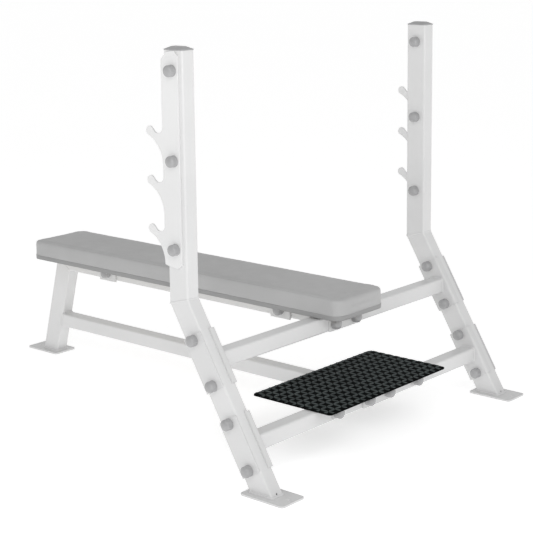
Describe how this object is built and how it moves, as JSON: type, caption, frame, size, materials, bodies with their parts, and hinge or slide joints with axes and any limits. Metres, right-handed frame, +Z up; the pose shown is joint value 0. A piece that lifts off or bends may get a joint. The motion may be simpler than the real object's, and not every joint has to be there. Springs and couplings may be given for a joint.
{
  "type": "olympic bench press",
  "caption": "Flat bench press with bent uprights, stepped hook plates for a long barbell, a long padded bench and a tread-plate step for a spotter behind the head end.",
  "frame": {"origin": "on the floor, at the middle of the object's outline seen from above", "axes": "+Z up, +Y along the bench from the head end to the foot end, +X across the bench"},
  "size_m": [1.312, 1.8162, 1.2805],
  "materials": {
    "frame_paint": "smooth light grey powder coat",
    "plate_paint": "smooth light grey powder coat",
    "hook_paint": "near-white powder coat",
    "post_cap_plastic": "moulded grey",
    "bolt_cap_plastic": "moulded grey",
    "zinc": "zinc plated",
    "plywood": "raw plywood",
    "pad_cover": "mid grey upholstery vinyl with a fine grain",
    "step_paint": "black textured powder coat on tread plate"
  },
  "bodies": {
    "root": {"left_post": "frame_paint", "right_post": "frame_paint", "left_leg": "frame_paint", "right_leg": "frame_paint", "left_foot_plate": "plate_paint", "right_foot_plate": "plate_paint", "rear_foot_plate": "plate_paint", "left_post_cap": "post_cap_plastic", "right_post_cap": "post_cap_plastic", "left_hook_plate": "hook_paint", "right_hook_plate": "hook_paint", "upper_crossbar": "frame_paint", "lower_crossbar": "frame_paint", "upper_left_saddle": "plate_paint", "upper_right_saddle": "plate_paint", "lower_left_saddle": "plate_paint", "lower_right_saddle": "plate_paint", "upper_left_backing": "plate_paint", "upper_right_backing": "plate_paint", "lower_left_backing": "plate_paint", "lower_right_backing": "plate_paint", "bench_beam": "frame_paint", "rear_leg": "frame_paint", "stringer": "frame_paint", "beam_end_plate": "plate_paint", "stringer_end_plate": "plate_paint", "upper_front_plate": "plate_paint", "lower_front_plate": "plate_paint", "head_pad_bracket": "plate_paint", "foot_pad_bracket": "plate_paint", "pad_board": "plywood", "pad_cushion": "pad_cover", "pad_screws": "zinc", "pad_tee_nuts": "zinc", "step_plate": "step_paint", "left_step_bracket": "plate_paint", "right_step_bracket": "plate_paint", "left_hook_bolts": "zinc", "right_hook_bolts": "zinc", "hook_washers": "zinc", "hook_nuts": "zinc", "left_hook_caps": "bolt_cap_plastic", "right_hook_caps": "bolt_cap_plastic", "left_leg_bolts": "zinc", "right_leg_bolts": "zinc", "left_leg_washers": "zinc", "right_leg_washers": "zinc", "left_leg_nuts": "zinc", "right_leg_nuts": "zinc", "left_leg_caps": "bolt_cap_plastic", "right_leg_caps": "bolt_cap_plastic", "crossbar_bolts": "zinc", "crossbar_washers": "zinc", "crossbar_nuts": "zinc", "crossbar_caps": "bolt_cap_plastic", "pad_bracket_bolts": "zinc", "pad_bracket_washers": "zinc", "pad_bracket_nuts": "zinc", "pad_bracket_caps": "bolt_cap_plastic"}
  },
  "joints": []
}
